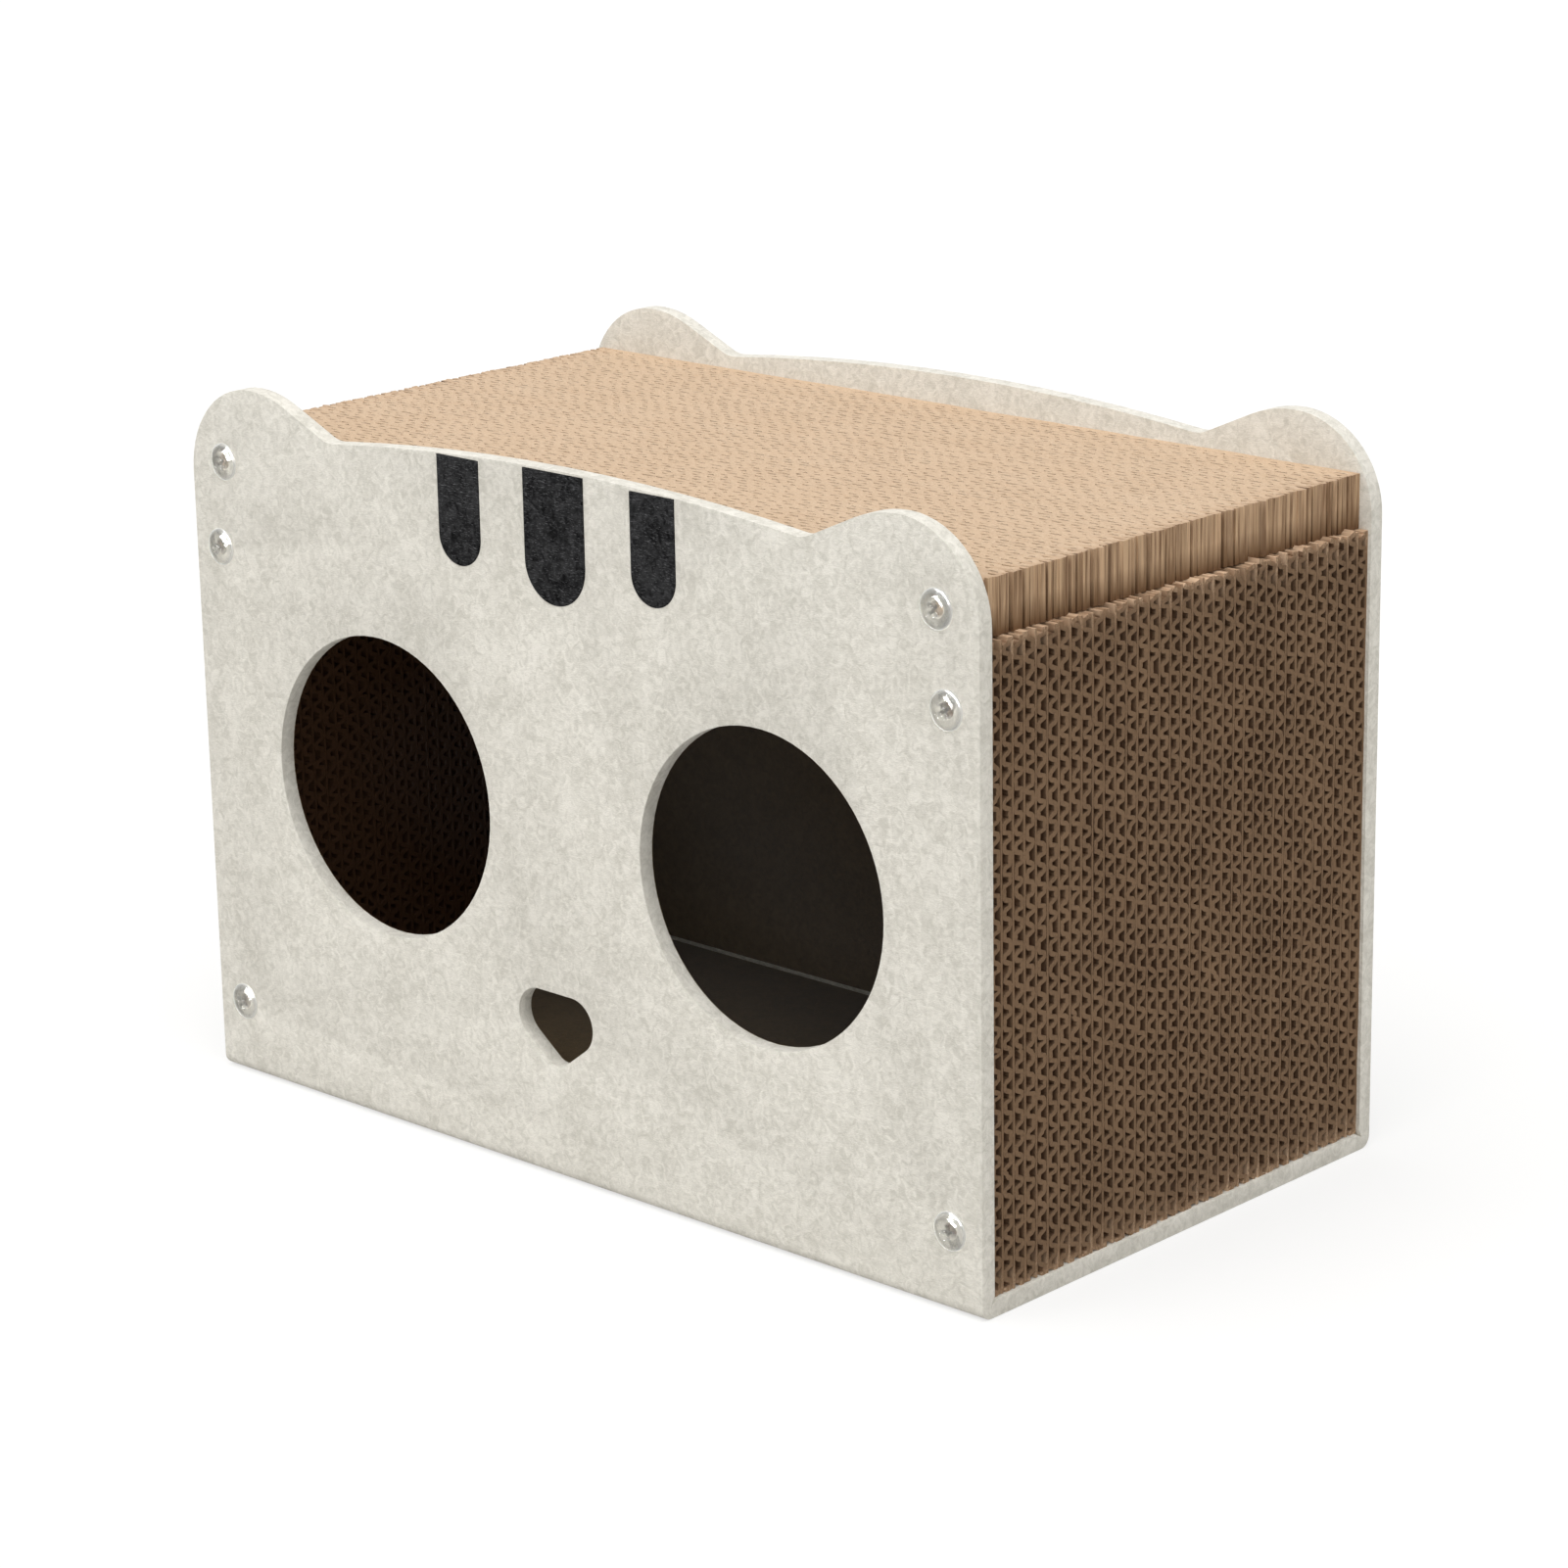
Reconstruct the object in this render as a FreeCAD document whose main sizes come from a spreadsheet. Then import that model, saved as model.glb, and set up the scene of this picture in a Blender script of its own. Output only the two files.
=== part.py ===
import FreeCAD, Part
import Sketcher
import math
import os
import re

from FreeCAD import Rotation, Vector

# Cat house: a folded felt wrap held square by three corrugated scratch boards.
# X runs to the right seen from the front, Y runs to the back, Z runs up.
# The origin is on the ground, in the middle of the footprint.

doc = FreeCAD.newDocument("CatHouse")

# Driving dimensions, in millimetres, with angles in degrees

SIZES = {
    # whole house
    "overall_width": 430,
    "overall_depth": 240,
    "overall_height": 300,
    # folded felt sheet
    "felt_thickness": 7,
    "fold_radius": 5,
    "fold_notch_width": 3,
    "fold_notch_depth": 2,
    # outline that the front and back panels share
    "ear_outer_radius": 38,
    "ear_inner_radius": 52,
    "ear_flank_angle": 24,
    "ear_valley_radius": 14,
    "brow_below_ears": 8.5,
    "brow_drop": 7.5,
    "brow_half_span": 131,
    # holes in the front panel
    "eye_radius": 63,
    "eye_spacing": 210,
    "eye_height_share": 0.4833,
    "nose_width": 42,
    "nose_length": 31,
    "nose_below_eyes": 66.5,
    "nose_cheek_radius": 11.5,
    "nose_tip_radius": 8,
    "nose_left_shift": 8,
    # black felt inlays on the brow
    "centre_stripe_width": 33,
    "centre_stripe_length": 52.3,
    "side_stripe_width": 23.5,
    "side_stripe_length": 43.3,
    "side_stripe_spacing": 106.6,
    "stripe_top_margin": 1.2,
    "inlay_depth": 1.6,
    "inlay_stand_out": 0.3,
    "inlay_gap": 0.15,
    # corrugated boards
    "side_board_thickness": 28,
    "side_board_inset": 1.5,
    "top_board_thickness": 22,
    "top_board_inset": 6,
    "top_board_below_ears": 21,
    "strip_count": 35,
    "liner_ridge_width": 2.6,
    "flute_channel_depth": 3,
    # clear board screws
    "screw_head_radius": 7.8,
    "screw_head_height": 2.8,
    "screw_recess_length": 6,
    "screw_recess_width": 1.9,
    "screw_recess_depth": 1.7,
    "screw_shank_radius": 3,
    "screw_length": 32,
    "screw_hole_clearance": 0.3,
    "pilot_bottom_clearance": 2,
    "side_screw_below_top_board": 25.5,
    "side_screw_above_floor": 25.3,
    "top_screw_inset": 20,
    # how far a cutting outline reaches past the stock
    "overrun": 5,
}

# Sizes that follow from the driving dimensions

DERIVED = {
    "half_width": "overall_width / 2",
    "half_depth": "overall_depth / 2",
    "cabin_half_depth": "half_depth - felt_thickness",
    "brow_height": "overall_height - brow_below_ears",
    "brow_radius": "(brow_half_span * brow_half_span + brow_drop * brow_drop) / (2 * brow_drop)",
    "ear_x": "half_width - ear_outer_radius",
    "eye_x": "eye_spacing / 2",
    "eye_height": "overall_height * eye_height_share",
    "nose_x": "0 - nose_left_shift",
    "nose_top_height": "eye_height - nose_below_eyes",
    "nose_bottom_height": "nose_top_height - nose_length",
    "cheek_offset": "nose_width / 2 - nose_cheek_radius",
    "centre_stripe_top": "brow_height - stripe_top_margin",
    "centre_stripe_bottom": "centre_stripe_top - centre_stripe_length",
    "side_stripe_x": "side_stripe_spacing / 2",
    "side_stripe_top": "centre_stripe_top - side_stripe_x * side_stripe_x / (2 * brow_radius)",
    "side_stripe_bottom": "side_stripe_top - side_stripe_length",
    "inlay_thickness": "inlay_depth + inlay_stand_out",
    "strip_pitch": "2 * cabin_half_depth / strip_count",
    "first_strip_y": "strip_pitch / 2 - cabin_half_depth",
    "last_strip_travel": "(strip_count - 1) * strip_pitch",
    "half_channel": "(strip_pitch - liner_ridge_width) / 2",
    "side_board_x": "half_width - side_board_inset - side_board_thickness / 2",
    "top_board_z": "overall_height - top_board_below_ears - top_board_thickness",
    "side_board_height": "top_board_z - felt_thickness",
    "top_board_half_length": "half_width - top_board_inset",
    "top_screw_x": "half_width - top_screw_inset",
    "top_screw_height": "top_board_z + top_board_thickness / 2",
    "upper_side_screw_height": "top_board_z - side_screw_below_top_board",
    "lower_side_screw_height": "felt_thickness + side_screw_above_floor",
    "screw_hole_radius": "screw_shank_radius + screw_hole_clearance",
    "pilot_depth": "screw_length - felt_thickness + pilot_bottom_clearance",
}

WORD = r"[a-z][a-z_]*"

sheet = doc.addObject("Spreadsheet::Sheet", "Sizes")
for row, (name, number) in enumerate(SIZES.items(), start=1):
    sheet.set(f"A{row}", str(number))
    sheet.setAlias(f"A{row}", name)
doc.recompute()


def spelled_out(text):
    """Swaps each derived word for its own formula, until only words of the sheet are left."""
    def swap(match):
        word = match.group(0)
        return "(" + spelled_out(DERIVED[word]) + ")" if word in DERIVED else word
    return re.sub(WORD, swap, text)


def tied(text):
    """The formula as another object of the document writes it."""
    return re.sub(WORD, r"Sizes.\g<0>", spelled_out(text))


def size(text):
    """The formula's present value."""
    return float(sheet.evalExpression(spelled_out(text)))


def minus(text):
    return "0 - (" + text + ")"


def plus(text, more):
    return "(" + text + ") + (" + more + ")"


# Sketches. A place is a pair of formulas, and a held point stays tied to them.

OUT_OF_PLANE = Vector(0, 0, 1)
EDGE_POINTS = ["whole edge", "start", "end", "centre"]


def point_code(word):
    """The sketcher's number for a point of an edge."""
    return EDGE_POINTS.index(word)


def axis_code(letter):
    """The sketcher counts its own axes down from minus one, and the first starts at the origin."""
    return -1 - "xy".index(letter)


def origin_feature(body, role):
    return next(item for item in body.Origin.OriginFeatures if item.Role == role)


def new_sketch(body, name, plane, offset=None):
    """A sketch on one of the body's own planes, or set off from it along the plane's normal."""
    sketch = body.newObject("Sketcher::SketchObject", body.Label + "_" + name)
    sketch.AttachmentSupport = [(origin_feature(body, plane), "")]
    sketch.MapMode = "FlatFace"
    if offset:
        sketch.setExpression(".AttachmentOffset.Base.z", tied(offset))
    return sketch


def spot(place):
    return Vector(size(place[0]), size(place[1]), 0)


def hold(sketch, kind, text, *where):
    """Adds a dimension and ties it to a formula."""
    number = sketch.addConstraint(Sketcher.Constraint(kind, *where, size(text)))
    sketch.setExpression(f"Constraints[{number}]", tied(text))


def hold_slope(sketch, edge, text):
    """Ties a straight edge's angle from the sketch's X axis to a formula in degrees."""
    number = sketch.addConstraint(Sketcher.Constraint("Angle", edge, math.radians(size(text))))
    sketch.setExpression(f"Constraints[{number}]", tied(text) + " * 1 deg")


def hold_x(sketch, edge, end, text):
    place = (edge, point_code(end))
    if text == "0":
        sketch.addConstraint(Sketcher.Constraint("PointOnObject", *place, axis_code("y")))
    else:
        hold(sketch, "DistanceX", text, axis_code("x"), point_code("start"), *place)


def hold_y(sketch, edge, end, text):
    place = (edge, point_code(end))
    if text == "0":
        sketch.addConstraint(Sketcher.Constraint("PointOnObject", *place, axis_code("x")))
    else:
        hold(sketch, "DistanceY", text, axis_code("x"), point_code("start"), *place)


def hold_point(sketch, edge, end, place):
    hold_x(sketch, edge, end, place[0])
    hold_y(sketch, edge, end, place[1])


def meet(sketch, edge, end, other, other_end):
    where = (edge, point_code(end), other, point_code(other_end))
    sketch.addConstraint(Sketcher.Constraint("Coincident", *where))


def flow(sketch, edge, end, other, other_end):
    """Joins two edges so that one runs smoothly into the other."""
    where = (edge, point_code(end), other, point_code(other_end))
    sketch.addConstraint(Sketcher.Constraint("Tangent", *where))


def add_line(sketch, start, end):
    return sketch.addGeometry(Part.LineSegment(start, end), False)


def add_arc(sketch, centre, radius, start_angle, end_angle):
    """An arc that runs anticlockwise between two angles, in radians."""
    circle = Part.Circle(centre, OUT_OF_PLANE, radius)
    return sketch.addGeometry(Part.ArcOfCircle(circle, start_angle, end_angle), False)


def add_circle(sketch, place, radius):
    circle = Part.Circle(spot(place), OUT_OF_PLANE, size(radius))
    edge = sketch.addGeometry(circle, False)
    hold_point(sketch, edge, "centre", place)
    hold(sketch, "Radius", radius, edge)


def direction(start, end):
    step = end - start
    return math.atan2(step.y, step.x)


def add_outline(sketch, corners):
    """A closed anticlockwise outline through held corners.

    A corner is a place, and the centre of the arc that leaves it or None before a straight run."""
    edges = []
    following = corners[1:] + corners[:1]
    for (place, arc_centre), (next_place, next_centre) in zip(corners, following):
        start = spot(place)
        end = spot(next_place)
        if arc_centre:
            centre = spot(arc_centre)
            radius = start.distanceToPoint(centre)
            edges.append(add_arc(sketch, centre, radius, direction(centre, start), direction(centre, end)))
        else:
            edges.append(add_line(sketch, start, end))
    for edge, after in zip(edges, edges[1:] + edges[:1]):
        meet(sketch, edge, "end", after, "start")
    for edge, (place, arc_centre) in zip(edges, corners):
        hold_point(sketch, edge, "start", place)
        if arc_centre:
            hold_y(sketch, edge, "centre", arc_centre[1])


def add_polygon(sketch, places):
    add_outline(sketch, [(place, None) for place in places])


# Features of a body

def new_body(label, x=None, y=None, z=None):
    """A sub-part, with its place tied to formulas."""
    body = doc.addObject("PartDesign::Body", label)
    body.Label = label
    for axis, text in (("x", x), ("y", y), ("z", z)):
        if text:
            body.setExpression(".Placement.Base." + axis, tied(text))
    return body


def pad(body, sketch, length, side="One side", reverse=False):
    feature = body.newObject("PartDesign::Pad", sketch.Name + "_pad")
    feature.Profile = sketch
    feature.SideType = side
    feature.Reversed = reverse
    feature.setExpression("Length", tied(length))
    doc.recompute()
    return feature


def check_cut(body, feature, solid_before):
    """A cut that takes nothing away is an error."""
    doc.recompute()
    if feature.Shape.isNull() or feature.Shape.Volume >= solid_before:
        raise RuntimeError(feature.Name + " cuts nothing")
    body.Tip = feature


def pocket(body, sketch, depth=None, side="One side", reverse=False):
    """A pocket of a given depth, or through everything. It runs against the sketch's normal."""
    solid_before = body.Shape.Volume
    feature = body.newObject("PartDesign::Pocket", sketch.Name + "_pocket")
    feature.Profile = sketch
    feature.SideType = side
    feature.Reversed = reverse
    if depth:
        feature.setExpression("Length", tied(depth))
    else:
        feature.Type = "ThroughAll"
    check_cut(body, feature, solid_before)
    return feature


def mirror(body, features, plane):
    """Repeats cuts on the far side of one of the body's own planes."""
    solid_before = body.Shape.Volume
    feature = body.newObject("PartDesign::Mirrored", features[0].Name + "_mirrored")
    feature.Originals = features
    feature.MirrorPlane = (origin_feature(body, plane), [""])
    check_cut(body, feature, solid_before)
    return feature


def row_along_y(body, feature, travel, count):
    """Repeats a cut along Y, with the last copy one travel away from the first."""
    solid_before = body.Shape.Volume
    row = body.newObject("PartDesign::LinearPattern", feature.Name + "_row")
    row.Originals = [feature]
    row.Direction = (origin_feature(body, "Y_Axis"), [""])
    row.setExpression("Length", tied(travel))
    row.setExpression("Occurrences", tied(count))
    check_cut(body, row, solid_before)
    return row


# Felt wrap: one sheet with V-cut bends, folded up into front panel, floor and back panel

def mirrored_place(place):
    return (minus(place[0]), place[1])


def draw_folded_section(sketch):
    """The sheet seen from its cut side. Each inside corner keeps the opening left by its V-cut."""
    notch_reach = "fold_notch_width / 2"
    outer_bend_centre = ("half_depth - fold_radius", "fold_radius")
    outer_foot = ("half_depth - fold_radius", "0")
    outer_side = ("half_depth", "fold_radius")
    outer_top = ("half_depth", "overall_height")
    inner_top = ("cabin_half_depth", "overall_height")
    notch_upper = ("cabin_half_depth", plus("felt_thickness", notch_reach))
    notch_root = (plus("cabin_half_depth", "fold_notch_depth"), "felt_thickness - fold_notch_depth")
    notch_lower = (plus("cabin_half_depth", minus(notch_reach)), "felt_thickness")
    back = [outer_top, inner_top, notch_upper, notch_root, notch_lower]
    front = [mirrored_place(place) for place in reversed(back)]
    corners = [(outer_foot, outer_bend_centre), (outer_side, None)]
    corners += [(place, None) for place in back + front]
    corners += [(mirrored_place(outer_side), mirrored_place(outer_bend_centre))]
    corners += [(mirrored_place(outer_foot), None)]
    add_outline(sketch, corners)


def draw_ear_trim(sketch):
    """The waste above the right half of a panel: brow, valley, ear flank and round ear."""
    outer_radius = size("ear_outer_radius")
    inner_radius = size("ear_inner_radius")
    valley_radius = size("ear_valley_radius")
    brow_radius = size("brow_radius")
    slope = math.radians(size("ear_flank_angle"))
    uphill = Vector(math.cos(slope), math.sin(slope), 0)
    outward = Vector(-math.sin(slope), math.cos(slope), 0)
    outer_centre = spot(("ear_x", "overall_height - ear_outer_radius"))
    inner_centre = spot(("ear_x", "overall_height - ear_inner_radius"))
    brow_centre = spot(("0", "brow_height - brow_radius"))
    flank_top = inner_centre + outward * inner_radius

    # The valley's centre lies one radius off the flank and touches the brow from above.
    above_top = flank_top + outward * valley_radius
    from_brow = above_top - brow_centre
    along = from_brow.dot(uphill)
    short = from_brow.dot(from_brow) - (brow_radius + valley_radius) ** 2
    valley_centre = above_top - uphill * (along - math.sqrt(along * along - short))
    flank_foot = valley_centre - outward * valley_radius

    to_brow = direction(valley_centre, brow_centre)
    from_valley = direction(brow_centre, valley_centre)
    brow = add_arc(sketch, brow_centre, brow_radius, from_valley, math.pi / 2)
    valley = add_arc(sketch, valley_centre, valley_radius, to_brow, slope - math.pi / 2)
    flank = add_line(sketch, flank_foot, flank_top)
    inner = add_arc(sketch, inner_centre, inner_radius, math.pi / 2, math.pi / 2 + slope)
    outer = add_arc(sketch, outer_centre, outer_radius, 0, math.pi / 2)

    shoulder = ("half_width", "overall_height - ear_outer_radius")
    clear_shoulder = (plus("half_width", "overrun"), "overall_height - ear_outer_radius")
    clear_corner = (plus("half_width", "overrun"), plus("overall_height", "overrun"))
    clear_middle = ("0", plus("overall_height", "overrun"))
    brow_top = ("0", "brow_height")
    out = add_line(sketch, spot(shoulder), spot(clear_shoulder))
    up = add_line(sketch, spot(clear_shoulder), spot(clear_corner))
    across = add_line(sketch, spot(clear_corner), spot(clear_middle))
    down = add_line(sketch, spot(clear_middle), spot(brow_top))

    flow(sketch, brow, "start", valley, "start")
    flow(sketch, valley, "end", flank, "start")
    flow(sketch, flank, "end", inner, "end")
    flow(sketch, inner, "start", outer, "end")
    meet(sketch, outer, "start", out, "start")
    meet(sketch, out, "end", up, "start")
    meet(sketch, up, "end", across, "start")
    meet(sketch, across, "end", down, "start")
    meet(sketch, down, "end", brow, "end")

    hold(sketch, "Radius", "brow_radius", brow)
    hold(sketch, "Radius", "ear_valley_radius", valley)
    hold(sketch, "Radius", "ear_inner_radius", inner)
    hold(sketch, "Radius", "ear_outer_radius", outer)
    hold_slope(sketch, flank, "ear_flank_angle")
    hold_x(sketch, brow, "centre", "0")
    hold_point(sketch, brow, "end", brow_top)
    hold_x(sketch, inner, "centre", "ear_x")
    hold_point(sketch, outer, "centre", ("ear_x", "overall_height - ear_outer_radius"))
    hold_y(sketch, outer, "start", shoulder[1])
    hold_point(sketch, up, "start", clear_shoulder)
    hold_point(sketch, up, "end", clear_corner)
    hold_point(sketch, down, "start", clear_middle)


def draw_nose(sketch):
    """A triangle that points down, with round cheeks and a round tip."""
    cheek_y = "nose_top_height - nose_cheek_radius"
    tip = ("nose_x", "nose_bottom_height + nose_tip_radius")
    right_cheek = (plus("nose_x", "cheek_offset"), cheek_y)
    left_cheek = (plus("nose_x", minus("cheek_offset")), cheek_y)
    cheek_radius = size("nose_cheek_radius")
    tip_radius = size("nose_tip_radius")
    right_centre = spot(right_cheek)
    left_centre = spot(left_cheek)
    tip_centre = spot(tip)

    # Both round ends of a side share the normal of that side.
    span = right_centre.distanceToPoint(tip_centre)
    right_normal = direction(tip_centre, right_centre) - math.acos((tip_radius - cheek_radius) / span)
    left_normal = math.pi - right_normal

    def rim(centre, radius, angle):
        return centre + Vector(math.cos(angle), math.sin(angle), 0) * radius

    right = add_arc(sketch, right_centre, cheek_radius, right_normal, math.pi / 2)
    top = add_line(sketch, rim(right_centre, cheek_radius, math.pi / 2),
                   rim(left_centre, cheek_radius, math.pi / 2))
    left = add_arc(sketch, left_centre, cheek_radius, math.pi / 2, left_normal)
    left_side = add_line(sketch, rim(left_centre, cheek_radius, left_normal),
                         rim(tip_centre, tip_radius, left_normal))
    bottom = add_arc(sketch, tip_centre, tip_radius, left_normal, right_normal + 2 * math.pi)
    right_side = add_line(sketch, rim(tip_centre, tip_radius, right_normal),
                          rim(right_centre, cheek_radius, right_normal))
    loop = [right, top, left, left_side, bottom, right_side]
    for edge, after in zip(loop, loop[1:] + loop[:1]):
        flow(sketch, edge, "end", after, "start")
    for edge, place, radius in ((right, right_cheek, "nose_cheek_radius"),
                                (left, left_cheek, "nose_cheek_radius"),
                                (bottom, tip, "nose_tip_radius")):
        hold_point(sketch, edge, "centre", place)
        hold(sketch, "Radius", radius, edge)


def draw_stripe(sketch, x, top, bottom, width, growth):
    """A stripe with a flat top and a round lower end, grown all round by a clearance."""
    reach = plus(width + " / 2", growth)
    right_x = plus(x, reach)
    left_x = plus(x, minus(reach))
    top_y = plus(top, growth)
    round_y = plus(bottom, width + " / 2")
    add_outline(sketch, [
        ((right_x, round_y), None),
        ((right_x, top_y), None),
        ((left_x, top_y), None),
        ((left_x, round_y), (x, round_y)),
    ])


# Each stripe: label, middle, top, bottom and width
STRIPES = [
    ("left_stripe", minus("side_stripe_x"), "side_stripe_top", "side_stripe_bottom", "side_stripe_width"),
    ("centre_stripe", "0", "centre_stripe_top", "centre_stripe_bottom", "centre_stripe_width"),
    ("right_stripe", "side_stripe_x", "side_stripe_top", "side_stripe_bottom", "side_stripe_width"),
]

# Each screw place on the right half: name, distance from the middle and height
SCREW_PLACES = [
    ("top", "top_screw_x", "top_screw_height"),
    ("upper", "side_board_x", "upper_side_screw_height"),
    ("lower", "side_board_x", "lower_side_screw_height"),
]


def make_felt_wrap():
    wrap = new_body("felt_wrap")
    section = new_sketch(wrap, "section", "YZ_Plane")
    draw_folded_section(section)
    pad(wrap, section, "overall_width", side="Symmetric")

    trim = new_sketch(wrap, "ear_trim", "XZ_Plane")
    draw_ear_trim(trim)
    mirror(wrap, [pocket(wrap, trim, side="Symmetric")], "YZ_Plane")

    eye = new_sketch(wrap, "eye_hole", "XZ_Plane")
    add_circle(eye, ("eye_x", "eye_height"), "eye_radius")
    mirror(wrap, [pocket(wrap, eye, reverse=True)], "YZ_Plane")

    nose = new_sketch(wrap, "nose_hole", "XZ_Plane")
    draw_nose(nose)
    pocket(wrap, nose, reverse=True)

    screw_holes = new_sketch(wrap, "screw_holes", "XZ_Plane")
    for place_name, x, height in SCREW_PLACES:
        add_circle(screw_holes, (x, height), "screw_hole_radius")
    mirror(wrap, [pocket(wrap, screw_holes, side="Symmetric")], "YZ_Plane")

    beds = new_sketch(wrap, "stripe_beds", "XZ_Plane", offset="half_depth")
    for stripe_values in STRIPES:
        draw_stripe(beds, *stripe_values[1:], "inlay_gap")
    pocket(wrap, beds, "inlay_depth")
    return wrap


# Black felt stripes, laid into the front panel and a little proud of it

def make_stripe(label, x, top, bottom, width):
    stripe = new_body(label, y="inlay_depth - half_depth")
    outline = new_sketch(stripe, "outline", "XZ_Plane")
    draw_stripe(outline, x, top, bottom, width, "0")
    pad(stripe, outline, "inlay_thickness")
    return stripe


# Scratch boards: strips of corrugated board glued flat to flat. On the outer cut faces the liners
# stand as ridges, and each strip's row of flutes is one channel between them. The faces towards
# the cabin are plain.

def draw_channel(sketch, face, root, upright=False):
    """The section of the first strip's channel, from a cut face down to its root.

    The board's thickness runs along the sketch's first axis, or along its second in an upright one."""
    before = plus("first_strip_y", minus("half_channel"))
    after = plus("first_strip_y", "half_channel")
    places = [(face, before), (root, before), (root, after), (face, after)]
    if upright:
        places = [(across, level) for level, across in places]
    add_polygon(sketch, places)


def make_side_board(label, x, looks_right):
    board = new_body(label, x=x, z="felt_thickness")
    half_thickness = "side_board_thickness / 2"
    base = new_sketch(board, "base", "XY_Plane")
    add_polygon(base, [
        (minus(half_thickness), minus("cabin_half_depth")),
        (half_thickness, minus("cabin_half_depth")),
        (half_thickness, "cabin_half_depth"),
        (minus(half_thickness), "cabin_half_depth"),
    ])
    pad(board, base, "side_board_height")

    channel = new_sketch(board, "flute_channel", "XY_Plane")
    root = half_thickness + " - flute_channel_depth"
    if looks_right:
        draw_channel(channel, half_thickness, root)
    else:
        draw_channel(channel, minus(half_thickness), minus(root))
    cut = pocket(board, channel, reverse=True)
    row_along_y(board, cut, "last_strip_travel", "strip_count")

    pilots = new_sketch(board, "pilot_holes", "XZ_Plane", offset="cabin_half_depth")
    for place_name, screw_x, height in SCREW_PLACES[1:]:
        add_circle(pilots, ("0", height + " - felt_thickness"), "screw_hole_radius")
    mirror(board, [pocket(board, pilots, "pilot_depth")], "XZ_Plane")
    return board


def make_top_board():
    board = new_body("top_scratch_board", z="top_board_z")
    base = new_sketch(board, "base", "XY_Plane")
    add_polygon(base, [
        (minus("top_board_half_length"), minus("cabin_half_depth")),
        ("top_board_half_length", minus("cabin_half_depth")),
        ("top_board_half_length", "cabin_half_depth"),
        (minus("top_board_half_length"), "cabin_half_depth"),
    ])
    pad(board, base, "top_board_thickness")

    channel = new_sketch(board, "flute_channel", "YZ_Plane")
    draw_channel(channel, "top_board_thickness", "top_board_thickness - flute_channel_depth", upright=True)
    cut = pocket(board, channel, side="Symmetric")
    row_along_y(board, cut, "last_strip_travel", "strip_count")

    pilots = new_sketch(board, "pilot_holes", "XZ_Plane", offset="cabin_half_depth")
    for x in ("top_screw_x", minus("top_screw_x")):
        add_circle(pilots, (x, "top_board_thickness / 2"), "screw_hole_radius")
    mirror(board, [pocket(board, pilots, "pilot_depth")], "XZ_Plane")
    return board


# Clear screws: a wide head with a cross recess, and a plain shank

def draw_cross(sketch):
    long = "screw_recess_length / 2"
    short = "screw_recess_width / 2"
    quarter = [(long, short), (short, short), (short, long)]
    places = []
    for x_sign, y_sign, order in ((1, 1, 1), (-1, 1, -1), (-1, -1, 1), (1, -1, -1)):
        for x, y in quarter[::order]:
            places.append((x if x_sign > 0 else minus(x), y if y_sign > 0 else minus(y)))
    add_polygon(sketch, places)


def make_screw(label, x, height, from_back):
    screw = new_body(label, x=x, y="half_depth" if from_back else minus("half_depth"), z=height)
    if from_back:
        screw.Placement.Rotation = Rotation(OUT_OF_PLANE, 180)
    head = new_sketch(screw, "head", "XZ_Plane")
    add_circle(head, ("0", "0"), "screw_head_radius")
    pad(screw, head, "screw_head_height")
    shank = new_sketch(screw, "shank", "XZ_Plane")
    add_circle(shank, ("0", "0"), "screw_shank_radius")
    pad(screw, shank, "screw_length", reverse=True)
    recess = new_sketch(screw, "recess", "XZ_Plane", offset="screw_head_height")
    draw_cross(recess)
    pocket(screw, recess, "screw_recess_depth")
    return screw


# Whole house

pieces = [make_felt_wrap(), make_top_board()]
pieces.append(make_side_board("left_side_board", minus("side_board_x"), looks_right=False))
pieces.append(make_side_board("right_side_board", "side_board_x", looks_right=True))
for stripe_values in STRIPES:
    pieces.append(make_stripe(*stripe_values))
for face, from_back in (("front", False), ("back", True)):
    for side in ("left", "right"):
        for place_name, x, height in SCREW_PLACES:
            screw_x = x if side == "right" else minus(x)
            pieces.append(make_screw(f"{face}_{side}_{place_name}_screw", screw_x, height, from_back))
doc.recompute()

for item in doc.Objects:
    if "Invalid" in item.State or "Error" in item.State:
        raise RuntimeError(item.Label + " did not build")
for piece in pieces:
    if piece.Shape.isNull() or not piece.Shape.isValid() or len(piece.Shape.Solids) != 1:
        raise RuntimeError(piece.Label + " is not one sound solid")

os.makedirs("parts", exist_ok=True)
for piece in pieces:
    piece.Shape.exportStep(f"parts/{piece.Label}.step")
    box = piece.Shape.BoundBox
    spans = [(box.XMin, box.XMax), (box.YMin, box.YMax), (box.ZMin, box.ZMax)]
    reach = "  ".join(f"{low:7.1f} {high:7.1f}" for low, high in spans)
    print(f"{piece.Label:26s} {piece.Shape.Volume / 1000:9.1f} cm3  {reach}")
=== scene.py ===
import math
import random

import bmesh
import bpy
from mathutils import Matrix, Vector


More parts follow.
